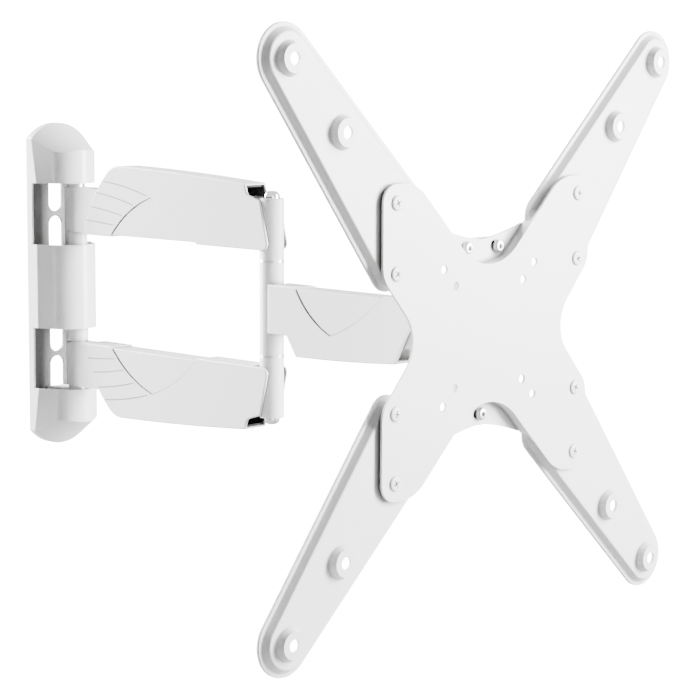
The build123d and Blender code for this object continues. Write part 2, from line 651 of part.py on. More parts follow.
with BuildPart() as tilt_knob:
    with BuildSketch(Plane(origin=(EAR_OUTER, -TILT_OUT, 0), x_dir=(0, -1, 0), z_dir=(1, 0, 0))):
        Circle(10.5)
        with PolarLocations(11.6, 8):
            Circle(2.6, mode=Mode.SUBTRACT)
        Circle(BOLT_R, mode=Mode.SUBTRACT)
    extrude(amount=12)
write(tilt_knob.part, "tilt_knob")

with BuildPart() as level_screws:
    for site in LEVEL_SITES:
        with BuildSketch(depth_plane(HEAD_PLATE_DEPTH + HEAD_PLATE_T + 6)):
            with Locations(site):
                Circle(LEVEL_SCREW_R)
        extrude(amount=HEAD_PLATE_DEPTH + HEAD_PLATE_T + 6 - ADAPTER_DEPTH + 0.1)
        with BuildSketch(depth_plane(ADAPTER_DEPTH - 0.1)):
            with Locations(site):
                Circle(LEVEL_HEAD_R)
        extrude(amount=3.9)
    fillet(level_screws.faces().group_by(Axis.Y)[0].edges(), 1.6)
    for site in LEVEL_SITES:
        with BuildSketch(depth_plane(ADAPTER_DEPTH - 4.0)):
            with Locations(site):
                RegularPolygon(2.2, 6)
        extrude(amount=-2.4, mode=Mode.SUBTRACT)
write(level_screws.part, "level_screws")

with BuildPart() as level_nuts:
    for site in LEVEL_SITES:
        with BuildSketch(depth_plane(HEAD_PLATE_DEPTH + HEAD_PLATE_T + 4.5)):
            with Locations(site):
                RegularPolygon(5.7, 6)
                Circle(LEVEL_SCREW_R, mode=Mode.SUBTRACT)
        extrude(amount=4.5)
write(level_nuts.part, "level_nuts")


# ======================================================================================
# Screen plate
# ======================================================================================
LEVEL_SLOT = (14.0, 6.8)

with BuildSketch() as adapter_quarter:
    with BuildLine():
        Polyline((0, 69), (0, 0), (22, 0), (22, 42), (45.5, 62), (45.5, 79.3))
        bulged((45.5, 79.3), (0, 69), 1.25)
    make_face()

with BuildPart() as adapter_plate:
    with BuildSketch(depth_plane(ADAPTER_DEPTH + ADAPTER_T)):
        add(adapter_quarter.sketch)
        mirror(about=Plane.YZ)
        mirror(about=Plane.XZ)
        Circle(LEVEL_STUB_R + RUNNING, mode=Mode.SUBTRACT)
        for x, z in LEVEL_SITES:
            with Locations((x, z)):
                SlotOverall(*LEVEL_SLOT, rotation=degrees(atan2(z, x)) - 90, mode=Mode.SUBTRACT)
    extrude(amount=ADAPTER_T)
write(adapter_plate.part, "adapter_plate")

with BuildSketch() as plate_quarter:
    with BuildLine():
        Line((0, 0), (82, 0))
        ThreePointArc((82, 0), (84.0, 10.8), (89.4, 19.7))
        Line((89.4, 19.7), (108.4, 41.6))
        ThreePointArc((108.4, 41.6), (112.05, 47.8), (113.4, 54.7))
        Line((113.4, 54.7), (113.4, 100))
        ThreePointArc((113.4, 100), (109.48, 109.48), (100, 113.4))
        Line((100, 113.4), (92.6, 113.4))
        ThreePointArc((92.6, 113.4), (80.35, 110.96), (70, 104))
        Line((70, 104), (29.7, 63.7))
        ThreePointArc((29.7, 63.7), (16.07, 54.6), (0, 51.4))
        Line((0, 51.4), (0, 0))
    make_face()

with BuildSketch() as plate_outline:
    add(plate_quarter.sketch)
    mirror(about=Plane.YZ)
    mirror(about=Plane.XZ)

with BuildSketch() as inner_outline:
    add(plate_outline.sketch)
    offset(amount=-PLATE_T, mode=Mode.REPLACE)

with BuildPart() as centre_plate:
    with BuildSketch(depth_plane(PLATE_DEPTH + PLATE_T)):
        add(plate_outline.sketch)
        for spacing in SMALL_HOLES:
            with GridLocations(spacing, spacing, 2, 2):
                Circle(SMALL_HOLE_R, mode=Mode.SUBTRACT)
        for z_spacing in (100, 200):
            with GridLocations(200, z_spacing, 2, 2):
                Circle(SCREW_R, mode=Mode.SUBTRACT)
    extrude(amount=PLATE_T)
    with BuildSketch(depth_plane(ADAPTER_DEPTH)):
        add(plate_outline.sketch)
        add(inner_outline.sketch, mode=Mode.SUBTRACT)
        with Locations((0, 68), (0, -68)):
            Rectangle(94, 46, mode=Mode.INTERSECT)
    extrude(amount=ADAPTER_DEPTH - PLATE_DEPTH - 0.5)
write(centre_plate.part, "centre_plate")


# ---- extension arm, upper right ----------------------------------------------------------
def extension_face(inset):
    """Outline of an extension arm: a round tip on a slowly widening arm with round corners."""
    taper = radians(EXTENSION_TAPER)
    end = EXTENSION_LENGTH - inset
    end_half_w = (TIP_R + EXTENSION_LENGTH * sin(taper)) / cos(taper) - inset / cos(taper) - inset * sin(taper)
    near_half_w = (TIP_R - inset) * cos(taper)
    near = -(TIP_R - inset) * sin(taper)
    with BuildSketch() as face:
        with BuildLine():
            Polyline((near, near_half_w), (near, -near_half_w), (end, -end_half_w), (end, end_half_w), close=True)
        make_face()
        fillet(face.vertices().group_by(Axis.X)[-1], 16 - inset)
        Circle(TIP_R - inset)
    turned = face.sketch.rotate(Axis.Z, 180 + EXTENSION_TURN)
    return turned.moved(Location((TIP[0], TIP[1])))


RISE = FLANGE_DEPTH - FIELD_DEPTH
BOSS_R = (12.4, 10.0)
BOSS_TAPER = degrees(atan2(BOSS_R[0] - BOSS_R[1], FIELD_DEPTH))
FLANGE_W = 3.2
FIELD_SOFT = 1.6            # radii of the stamped step
RIM_SOFT = 0.8

with BuildPart() as extension:
    with BuildSketch(depth_plane(FLANGE_DEPTH + STAMP_T)):
        add(extension_face(0))
    extrude(amount=STAMP_T)
    with BuildSketch(depth_plane(FLANGE_DEPTH)):
        add(extension_face(FLANGE_W))
    extrude(amount=RISE, taper=STEP_TAPER)
    fillet(extension.faces().sort_by(Axis.Y)[0].edges(), FIELD_SOFT)
    fillet(extension.faces().filter_by(Plane.XZ).group_by(Axis.Y)[1].edges(), RIM_SOFT)
    for half_spacing in (SCREEN_HOLES[0] / 2, SCREEN_HOLES[1] / 2):
        with BuildSketch(depth_plane(FIELD_DEPTH)):
            with Locations((half_spacing, half_spacing)):
                Circle(BOSS_R[0])
        extrude(amount=FIELD_DEPTH, taper=BOSS_TAPER)
    for site in SCREW_SITES:
        with BuildSketch(depth_plane(FIELD_DEPTH)):
            with Locations(site):
                Circle(8.5)
        extrude(amount=FIELD_DEPTH - PLATE_DEPTH - PLATE_T, taper=30)
    with BuildSketch(depth_plane(FLANGE_DEPTH + STAMP_T)):
        add(extension_face(FLANGE_W + 1.9))
    extrude(amount=RISE, taper=STEP_TAPER, mode=Mode.SUBTRACT)
    for half_spacing in (SCREEN_HOLES[0] / 2, SCREEN_HOLES[1] / 2):
        with BuildSketch(depth_plane(FIELD_DEPTH + STAMP_T)):
            with Locations((half_spacing, half_spacing)):
                Circle(BOSS_R[0] - 1.6)
        extrude(amount=FIELD_DEPTH, taper=BOSS_TAPER, mode=Mode.SUBTRACT)
        with BuildSketch(depth_plane(FIELD_DEPTH)):
            with Locations((half_spacing, half_spacing)):
                Circle(SCREEN_HOLE_R)
        extrude(amount=FIELD_DEPTH, mode=Mode.SUBTRACT)
    with BuildSketch(depth_plane(FLANGE_DEPTH)):
        with Locations(*SCREW_SITES):
            Circle(SCREW_R)
    extrude(amount=FLANGE_DEPTH, mode=Mode.SUBTRACT)

lower_extension = mirror(extension.part, about=Plane.XY)
write(extension.part, "upper_right_extension")
write(mirror(extension.part, about=Plane.YZ), "upper_left_extension")
write(lower_extension, "lower_right_extension")
write(mirror(lower_extension, about=Plane.YZ), "lower_left_extension")

with BuildPart() as extension_screws:
    for z_spacing in (100, 200):
        with BuildSketch(depth_plane(FIELD_DEPTH + STAMP_T + 5)):
            with GridLocations(200, z_spacing, 2, 2):
                Circle(SCREW_R)
        extrude(amount=FIELD_DEPTH + STAMP_T + 5 - PLATE_DEPTH)
        with BuildSketch(depth_plane(PLATE_DEPTH)):
            with GridLocations(200, z_spacing, 2, 2):
                Circle(5.5)
        extrude(amount=PLATE_DEPTH)
    fillet(extension_screws.faces().group_by(Axis.Y)[0].edges(), 0.8)
    for z_spacing in (100, 200):
        with BuildSketch(depth_plane(0)):
            with GridLocations(200, z_spacing, 2, 2):
                Rectangle(4.6, 0.9)
                Rectangle(0.9, 4.6)
        extrude(amount=-1.2, mode=Mode.SUBTRACT)
write(extension_screws.part, "extension_screws")

with BuildPart() as extension_nuts:
    for z_spacing in (100, 200):
        with BuildSketch(depth_plane(FIELD_DEPTH + STAMP_T + 4)):
            with GridLocations(200, z_spacing, 2, 2):
                RegularPolygon(4.6, 6)
                Circle(SCREW_R, mode=Mode.SUBTRACT)
        extrude(amount=4)
write(extension_nuts.part, "extension_nuts")
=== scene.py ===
"""Looks of a full motion wall mount for a flat screen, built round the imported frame.

Row frame, metres: the origin is the centre of the wall plate's back face, +Z is up and the
room is towards -Y.
"""

import json
import logging
from dataclasses import dataclass
from enum import Enum
from math import cos, pi, radians, sin, tau

import bmesh
import bpy
from mathutils import Matrix, Vector


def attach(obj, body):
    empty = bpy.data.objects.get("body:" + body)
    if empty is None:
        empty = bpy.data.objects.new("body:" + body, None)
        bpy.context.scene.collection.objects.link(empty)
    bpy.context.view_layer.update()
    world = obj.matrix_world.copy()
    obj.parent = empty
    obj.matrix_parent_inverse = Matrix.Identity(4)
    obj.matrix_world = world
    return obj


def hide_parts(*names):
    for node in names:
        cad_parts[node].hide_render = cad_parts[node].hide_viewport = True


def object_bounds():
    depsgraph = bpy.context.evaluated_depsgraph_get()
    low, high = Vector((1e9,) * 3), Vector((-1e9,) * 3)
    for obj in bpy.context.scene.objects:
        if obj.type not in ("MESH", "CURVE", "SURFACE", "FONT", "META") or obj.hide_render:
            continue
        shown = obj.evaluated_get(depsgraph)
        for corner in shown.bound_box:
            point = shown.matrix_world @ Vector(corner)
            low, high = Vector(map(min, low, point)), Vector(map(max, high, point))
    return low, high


log = logging.getLogger("wall_mount")

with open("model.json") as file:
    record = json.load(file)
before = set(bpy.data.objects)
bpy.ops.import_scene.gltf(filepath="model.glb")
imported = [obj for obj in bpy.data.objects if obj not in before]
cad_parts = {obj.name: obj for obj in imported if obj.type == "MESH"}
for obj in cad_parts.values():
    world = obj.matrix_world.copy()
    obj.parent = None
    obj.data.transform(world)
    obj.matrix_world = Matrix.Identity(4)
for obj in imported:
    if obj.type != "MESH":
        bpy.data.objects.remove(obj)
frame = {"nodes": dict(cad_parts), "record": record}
CAD_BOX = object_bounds()

MM = 0.001
FACE_Y = CAD_BOX[0][1]      # plane of the faces that the screen rests on


# ---- shader groups -------------------------------------------------------------------
CLOUD_DETAIL = 3.0
GRAIN_DETAIL = 2.0
LINE_DETAIL = 3.0
NOISE_MEAN = 0.5
# Painted shade: these set how far ambient occlusion darkens the colour in narrow gaps.
GAP_SAMPLES = 8
GAP_DEEP = 0.25             # openness at which a gap is fully shaded
GAP_OPEN = 0.85             # openness at which nothing is shaded


def new_group(name: str, ins: list[tuple[str, str, object]],
              outs: list[tuple[str, str]]) -> bpy.types.NodeTree:
    """Make an empty shader group with named sockets.

    Args:
        name: The group's name.
        ins: Input sockets as (name, socket type, default value).
        outs: Output sockets as (name, socket type).

    Returns:
        The node tree, with a Group Input and a Group Output node in it.
    """
    tree = bpy.data.node_groups.new(name, "ShaderNodeTree")
    for label, kind, default in ins:
        socket = tree.interface.new_socket(label, in_out="INPUT", socket_type=kind)
        socket.default_value = default
    for label, kind in outs:
        tree.interface.new_socket(label, in_out="OUTPUT", socket_type=kind)
    tree.nodes.new("NodeGroupInput").name = "in"
    tree.nodes.new("NodeGroupOutput").name = "out"
    return tree


def grain_and_painted_shade() -> bpy.types.NodeTree:
    """Fine grain of a coated or moulded surface, its tint, its gloss and its height, with painted shade in
    narrow gaps.

    Painted shade: ambient occlusion darkens the colour in gaps and creases narrower than the reach.

    Returns:
        The shader group, made once and reused.
    """
    known = bpy.data.node_groups.get("grain_and_painted_shade")
    if known:
        return known
    tree = new_group(
        "grain_and_painted_shade",
        [("Color", "NodeSocketColor", (0.8, 0.8, 0.8, 1.0)), ("Tint", "NodeSocketFloat", 0.03),
         ("Cloud Scale", "NodeSocketFloat", 12.0), ("Grain Scale", "NodeSocketFloat", 900.0),
         ("Gloss", "NodeSocketFloat", 0.3), ("Gloss Spread", "NodeSocketFloat", 0.06),
         ("Gap Reach", "NodeSocketFloat", 0.006), ("Gap Shade", "NodeSocketFloat", 0.15)],
        [("Color", "NodeSocketColor"), ("Roughness", "NodeSocketFloat"), ("Height", "NodeSocketFloat")])
    nodes, links = tree.nodes, tree.links
    place = nodes.new("ShaderNodeTexCoord")
    cloud = nodes.new("ShaderNodeTexNoise")
    cloud.inputs["Detail"].default_value = CLOUD_DETAIL
    grain = nodes.new("ShaderNodeTexNoise")
    grain.inputs["Detail"].default_value = GRAIN_DETAIL
    links.new(place.outputs["Object"], cloud.inputs["Vector"])
    links.new(place.outputs["Object"], grain.inputs["Vector"])
    links.new(nodes["in"].outputs["Cloud Scale"], cloud.inputs["Scale"])
    links.new(nodes["in"].outputs["Grain Scale"], grain.inputs["Scale"])
    centred = nodes.new("ShaderNodeMath")
    centred.operation = "SUBTRACT"
    centred.inputs[1].default_value = NOISE_MEAN
    links.new(cloud.outputs["Fac"], centred.inputs[0])
    shade = nodes.new("ShaderNodeMath")
    shade.operation = "MULTIPLY_ADD"
    shade.inputs[2].default_value = 1.0
    links.new(centred.outputs[0], shade.inputs[0])
    links.new(nodes["in"].outputs["Tint"], shade.inputs[1])
    tinted = nodes.new("ShaderNodeVectorMath")
    tinted.operation = "SCALE"
    links.new(nodes["in"].outputs["Color"], tinted.inputs[0])
    links.new(shade.outputs[0], tinted.inputs["Scale"])
    # Painted shade: ambient occlusion darkens the base colour in gaps and creases.
    gaps = nodes.new("ShaderNodeAmbientOcclusion")
    gaps.samples = GAP_SAMPLES
    links.new(nodes["in"].outputs["Gap Reach"], gaps.inputs["Distance"])
    painted_shade_factor = nodes.new("ShaderNodeMapRange")
    painted_shade_factor.inputs["From Min"].default_value = GAP_DEEP
    painted_shade_factor.inputs["From Max"].default_value = GAP_OPEN
    links.new(nodes["in"].outputs["Gap Shade"], painted_shade_factor.inputs["To Min"])
    links.new(gaps.outputs["AO"], painted_shade_factor.inputs["Value"])
    painted_shade_colour = nodes.new("ShaderNodeVectorMath")
    painted_shade_colour.operation = "SCALE"
    links.new(tinted.outputs[0], painted_shade_colour.inputs[0])
    links.new(painted_shade_factor.outputs[0], painted_shade_colour.inputs["Scale"])
    links.new(painted_shade_colour.outputs[0], nodes["out"].inputs["Color"])
    rough = nodes.new("ShaderNodeMath")
    rough.operation = "MULTIPLY_ADD"
    links.new(centred.outputs[0], rough.inputs[0])
    links.new(nodes["in"].outputs["Gloss Spread"], rough.inputs[1])
    links.new(nodes["in"].outputs["Gloss"], rough.inputs[2])
    links.new(rough.outputs[0], nodes["out"].inputs["Roughness"])
    links.new(grain.outputs["Fac"], nodes["out"].inputs["Height"])
    return tree


def brushed_lines() -> bpy.types.NodeTree:
    """Fine straight lines of drawn or turned metal, as a height and a gloss.

    Returns:
        The shader group, made once and reused.
    """
    known = bpy.data.node_groups.get("brushed_lines")
    if known:
        return known
    tree = new_group(
        "brushed_lines",
        [("Stretch", "NodeSocketVector", (1.0, 1.0, 1.0)), ("Scale", "NodeSocketFloat", 600.0),
         ("Gloss", "NodeSocketFloat", 0.3), ("Gloss Spread", "NodeSocketFloat", 0.2)],
        [("Roughness", "NodeSocketFloat"), ("Height", "NodeSocketFloat")])
    nodes, links = tree.nodes, tree.links
    place = nodes.new("ShaderNodeTexCoord")
    stretched = nodes.new("ShaderNodeVectorMath")
    stretched.operation = "MULTIPLY"
    links.new(place.outputs["Object"], stretched.inputs[0])
    links.new(nodes["in"].outputs["Stretch"], stretched.inputs[1])
    lines = nodes.new("ShaderNodeTexNoise")
    lines.inputs["Detail"].default_value = LINE_DETAIL
    links.new(stretched.outputs[0], lines.inputs["Vector"])
    links.new(nodes["in"].outputs["Scale"], lines.inputs["Scale"])
    rough = nodes.new("ShaderNodeMath")
    rough.operation = "MULTIPLY_ADD"
    links.new(lines.outputs["Fac"], rough.inputs[0])
    links.new(nodes["in"].outputs["Gloss Spread"], rough.inputs[1])
    links.new(nodes["in"].outputs["Gloss"], rough.inputs[2])
    links.new(rough.outputs[0], nodes["out"].inputs["Roughness"])
    links.new(lines.outputs["Fac"], nodes["out"].inputs["Height"])
    return tree


# ---- finishes ------------------------------------------------------------------------
@dataclass(frozen=True)
class Finish:
    """What every finish has.

    Attributes:
        name: The material's name.
        colour: Linear base colour.
        bump: Strength of the grain's bump.
        grain_depth: Height of the grain in metres.
    """

    name: str
    colour: tuple[float, float, float]
    bump: float = 0.1
    grain_depth: float = 0.00005

    def start(self) -> tuple[bpy.types.Material, bpy.types.Node]:
        """Make the bare material and return it with its shader."""
        material = bpy.data.materials.new(self.name)
        material.use_nodes = True
        return material, material.node_tree.nodes["Principled BSDF"]

    def add_bump(self, material: bpy.types.Material, shader: bpy.types.Node, group: bpy.types.Node) -> None:
        """Lead a group's height through a Bump node to the shader's normal."""
        bump = material.node_tree.nodes.new("ShaderNodeBump")
        bump.inputs["Strength"].default_value = self.bump
        bump.inputs["Distance"].default_value = self.grain_depth
        material.node_tree.links.new(group.outputs["Height"], bump.inputs["Height"])
        material.node_tree.links.new(bump.outputs["Normal"], shader.inputs["Normal"])


@dataclass(frozen=True)
class GrainFinish(Finish):
    """A coated or moulded surface with an even fine grain.

    Attributes:
        tint: How far the colour drifts.
        cloud_scale: Size of that drift, per metre.
        grain_scale: Size of the grain, per metre.
        gloss: Mean roughness.
        gloss_spread: How far the roughness drifts.
    """

    tint: float = 0.03
    cloud_scale: float = 12.0
    grain_scale: float = 900.0
    gloss: float = 0.3
    gloss_spread: float = 0.06

    def build(self) -> bpy.types.Material:
        """Make the material."""
        material, shader = self.start()
        group = material.node_tree.nodes.new("ShaderNodeGroup")
        group.node_tree = grain_and_painted_shade()
        group.inputs["Color"].default_value = (*self.colour, 1.0)
        group.inputs["Tint"].default_value = self.tint
        group.inputs["Cloud Scale"].default_value = self.cloud_scale
        group.inputs["Grain Scale"].default_value = self.grain_scale
        group.inputs["Gloss"].default_value = self.gloss
        group.inputs["Gloss Spread"].default_value = self.gloss_spread
        links = material.node_tree.links
        links.new(group.outputs["Color"], shader.inputs["Base Color"])
        links.new(group.outputs["Roughness"], shader.inputs["Roughness"])
        self.add_bump(material, shader, group)
        return material


@dataclass(frozen=True)
class MetalFinish(Finish):
    """Bare or plated metal with turned or drawn lines.

    Attributes:
        stretch: How far the lines are squeezed along each axis.
        scale: Fineness of the lines.
        gloss: Lowest roughness.
        gloss_spread: How much roughness the lines add.
    """

    stretch: tuple[float, float, float] = (1.0, 1.0, 1.0)
    scale: float = 600.0
    gloss: float = 0.25
    gloss_spread: float = 0.2

    def build(self) -> bpy.types.Material:
        """Make the material."""
        material, shader = self.start()
        group = material.node_tree.nodes.new("ShaderNodeGroup")
        group.node_tree = brushed_lines()
        group.inputs["Stretch"].default_value = self.stretch
        group.inputs["Scale"].default_value = self.scale
        group.inputs["Gloss"].default_value = self.gloss
        group.inputs["Gloss Spread"].default_value = self.gloss_spread
        shader.inputs["Base Color"].default_value = (*self.colour, 1.0)
        shader.inputs["Metallic"].default_value = 1.0
        material.node_tree.links.new(group.outputs["Roughness"], shader.inputs["Roughness"])
        self.add_bump(material, shader, group)
        return material


class Look(Enum):
    """The finishes of the mount, by the record's slot."""

    STEEL = "white_steel"
    COVER = "white_cover"
    ZINC = "zinc"
    CHROME = "bright_chrome"
    BUSH = "bush"
    # Painted shade: near-black sheets inside the covers stand where there is only shade.
    PAINTED_SHADE_LINER = "black_liner"
    # Painted shade: the wall plate gets the dark grey of the shade inside its openings.
    PAINTED_SHADE_GREY = "grey_steel"


FINISHES = {
    Look.STEEL: GrainFinish("satin_powder_coat", (0.80, 0.80, 0.795), bump=0.12, grain_depth=0.00006,
                            grain_scale=1400.0, gloss=0.32, gloss_spread=0.08, tint=0.02),
    Look.COVER: GrainFinish("moulded_white", (0.82, 0.82, 0.815), bump=0.05, grain_depth=0.00004,
                            grain_scale=2200.0, gloss=0.24, gloss_spread=0.05, tint=0.015),
    Look.ZINC: MetalFinish("zinc_plate", (0.60, 0.61, 0.63), bump=0.2, stretch=(1.0, 6.0, 1.0),
                           scale=500.0, gloss=0.28, gloss_spread=0.18),
    Look.CHROME: MetalFinish("polished_chrome", (0.80, 0.81, 0.83), bump=0.03, scale=300.0,
                             gloss=0.05, gloss_spread=0.05),
    Look.BUSH: GrainFinish("bearing_polymer", (0.03, 0.03, 0.032), bump=0.15, grain_scale=1100.0,
                           gloss=0.45),
    # Painted shade: dark grey standing in for the shade on the wall plate inside its openings.
    Look.PAINTED_SHADE_GREY: GrainFinish("grey_painted_shade", (0.085, 0.085, 0.085), bump=0.15, grain_depth=0.00006,
                             grain_scale=1400.0, gloss=0.5, gloss_spread=0.1),
    # Painted shade: near-black sheets standing in for the shade inside the covers.
    Look.PAINTED_SHADE_LINER: GrainFinish("black_painted_shade_sheet", (0.012, 0.012, 0.012), bump=0.2, grain_scale=1500.0,
                            gloss=0.6),
}


class Paintbox:
    """Makes each material once and puts it on pieces."""

    def __init__(self) -> None:
        """Start with no material made."""
        self.made: dict[Look, bpy.types.Material] = {}

    def material(self, look: Look) -> bpy.types.Material:
        """Return the material of a finish, made on its first use."""
        if look not in self.made:
            self.made[look] = FINISHES[look].build()
        return self.made[look]

    def paint(self, piece: bpy.types.Object, look: Look) -> None:
        """Give a piece one material and nothing else."""
        piece.data.materials.clear()
        piece.data.materials.append(self.material(look))


# ---- mesh helpers --------------------------------------------------------------------
def piece_from(name: str, bm: bmesh.types.BMesh) -> bpy.types.Object:
    """Turn a finished bmesh into an object at the world origin.

    Args:
        name: The piece's name.
        bm: The mesh, which is freed.

    Returns:
        The new object, linked to the scene.
    """
    mesh = bpy.data.meshes.new(name)
    bm.to_mesh(mesh)
    bm.free()
    piece = bpy.data.objects.new(name, mesh)
    bpy.context.scene.collection.objects.link(piece)
    return piece


def turned(name: str, profile: list[tuple[float, float]], segments: int = 40) -> bpy.types.Object:
    """Turn a closed solid about the Y axis.

    Args:
        name: The piece's name.
        profile: (radius, y) in millimetres from one end of the axis to the other.
        segments: Number of sides.

    Returns:
        The turned piece.
    """
    bm = bmesh.new()
    rings = []
    for radius, y in profile:
        if radius == 0:
            rings.append([bm.verts.new((0, y * MM, 0))])
            continue
        rings.append([bm.verts.new((radius * MM * cos(tau * k / segments), y * MM,
                                    radius * MM * sin(tau * k / segments))) for k in range(segments)])
    for ring, after in zip(rings, rings[1:]):
        for k in range(segments):
            here = [ring[k % len(ring)], ring[(k + 1) % len(ring)]]
            there = [after[(k + 1) % len(after)], after[k % len(after)]]
            corners = list(dict.fromkeys(here + there))
            bm.faces.new(corners)
    bmesh.ops.recalc_face_normals(bm, faces=bm.faces)
    return piece_from(name, bm)


def prism(name: str, points: list[tuple[float, float]], low: float, high: float) -> bpy.types.Object:
    """Straight prism along Y over an outline in X and Z, all in millimetres."""
    bm = bmesh.new()
    near = [bm.verts.new((x * MM, low * MM, z * MM)) for x, z in points]
    far = [bm.verts.new((x * MM, high * MM, z * MM)) for x, z in points]
    bm.faces.new(near)
    bm.faces.new(far[::-1])
    for k, _ in enumerate(points):
        nxt = (k + 1) % len(points)
        bm.faces.new([near[k], far[k], far[nxt], near[nxt]])
    bmesh.ops.recalc_face_normals(bm, faces=bm.faces)
    return piece_from(name, bm)


class Cut(Enum):
    """How one solid changes another."""

    AWAY = "DIFFERENCE"
    COMMON = "INTERSECT"


def carve(piece: bpy.types.Object, tool: bpy.types.Object, cut: Cut) -> None:
    """Change a piece by a tool solid, and delete the tool."""
    step = piece.modifiers.new("carve", "BOOLEAN")
    step.operation = cut.value
    step.solver = "EXACT"
    step.object = tool
    bake(piece)
    bpy.data.objects.remove(tool)


def bake(piece: bpy.types.Object) -> None:
    """Replace a piece's mesh by its evaluated one and remove its modifiers."""
    graph = bpy.context.evaluated_depsgraph_get()
    mesh = bpy.data.meshes.new_from_object(piece.evaluated_get(graph))
    piece.modifiers.clear()
    piece.data = mesh


def smooth(piece: bpy.types.Object, angle: float = 35.0) -> None:
    """Shade a piece smooth but for edges sharper than an angle in degrees."""
    bm = bmesh.new()
    bm.from_mesh(piece.data)
    for face in bm.faces:
        face.smooth = True
    for edge in bm.edges:
        edge.smooth = len(edge.link_faces) == 2 and edge.calc_face_angle(0.0) < radians(angle)
    bm.to_mesh(piece.data)
    bm.free()


def polygon(radius: float, sides: int) -> list[tuple[float, float]]:
    """Corners of a regular polygon in X and Z."""
    return [(radius * cos(tau * k / sides), radius * sin(tau * k / sides)) for k in range(sides)]


def cross(reach: float, half_width: float) -> list[list[tuple[float, float]]]:
    """Outline the two bars of an upright cross in X and Z.

    Args:
        reach: Half the length of a bar.
        half_width: Half its width.

    Returns:
        The corners of the level bar, then of the upright one.
    """
    level = [(-reach, -half_width), (reach, -half_width), (reach, half_width), (-reach, half_width)]
    upright = [(-half_width, -reach), (half_width, -reach), (half_width, reach), (-half_width, reach)]
    return [level, upright]


# ---- geometry nodes ------------------------------------------------------------------
def geometry_tree(name: str, ins: list[tuple[str, str, object]]) -> bpy.types.NodeTree:
    """Start a Geometry Nodes tree with a Geometry input, named inputs and a Geometry output."""
    tree = bpy.data.node_groups.new(name, "GeometryNodeTree")
    tree.interface.new_socket("Geometry", in_out="INPUT", socket_type="NodeSocketGeometry")
    for label, kind, default in ins:
        socket = tree.interface.new_socket(label, in_out="INPUT", socket_type=kind)
        if default is not None:
            socket.default_value = default
    tree.interface.new_socket("Geometry", in_out="OUTPUT", socket_type="NodeSocketGeometry")
    tree.nodes.new("NodeGroupInput").name = "in"
    tree.nodes.new("NodeGroupOutput").name = "out"
    return tree


def end_tree(tree: bpy.types.NodeTree, geometry: bpy.types.NodeSocket) -> None:
    """Finish a tree with Realize Instances and Set Material."""
    real = tree.nodes.new("GeometryNodeRealizeInstances")
    dress = tree.nodes.new("GeometryNodeSetMaterial")
    tree.links.new(geometry, real.inputs["Geometry"])
    tree.links.new(real.outputs["Geometry"], dress.inputs["Geometry"])
    tree.links.new(tree.nodes["in"].outputs["Material"], dress.inputs["Material"])
    tree.links.new(dress.outputs["Geometry"], tree.nodes["out"].inputs["Geometry"])


def set_inputs(piece: bpy.types.Object, tree: bpy.types.NodeTree, values: dict[str, object]) -> None:
    """Add a tree to a piece as a modifier, with its inputs set by socket identifier."""
    step = piece.modifiers.new(tree.name, "NODES")
    step.node_group = tree
    for item in tree.interface.items_tree:
        if item.in_out == "INPUT" and item.name in values:
            step[item.identifier] = values[item.name]


def fastener_tree() -> bpy.types.NodeTree:
    """Tree that puts one turned copy of a fastener on every point.

    Returns:
        The Geometry Nodes tree, made once and reused.
    """
    known = bpy.data.node_groups.get("fastener_sites")
    if known:
        return known
    tree = geometry_tree("fastener_sites", [
        ("Fastener", "NodeSocketObject", None), ("Largest Turn", "NodeSocketFloat", 0.0),
        ("Seed", "NodeSocketInt", 1), ("Material", "NodeSocketMaterial", None)])
    nodes, links = tree.nodes, tree.links
    source = nodes.new("GeometryNodeObjectInfo")
    links.new(nodes["in"].outputs["Fastener"], source.inputs["Object"])
    turn = nodes.new("FunctionNodeRandomValue")
    turn.data_type = "FLOAT"
    links.new(nodes["in"].outputs["Largest Turn"], turn.inputs[3])
    links.new(nodes["in"].outputs["Seed"], turn.inputs["Seed"])
    about = nodes.new("ShaderNodeCombineXYZ")
    links.new(turn.outputs[1], about.inputs["Y"])
    put = nodes.new("GeometryNodeInstanceOnPoints")
    links.new(nodes["in"].outputs["Geometry"], put.inputs["Points"])
    links.new(source.outputs["Geometry"], put.inputs["Instance"])
    links.new(about.outputs[0], put.inputs["Rotation"])
    end_tree(tree, put.outputs["Instances"])
    return tree


THREAD_STEPS = 24           # points in one turn of a thread
THREAD_SIDES = 5


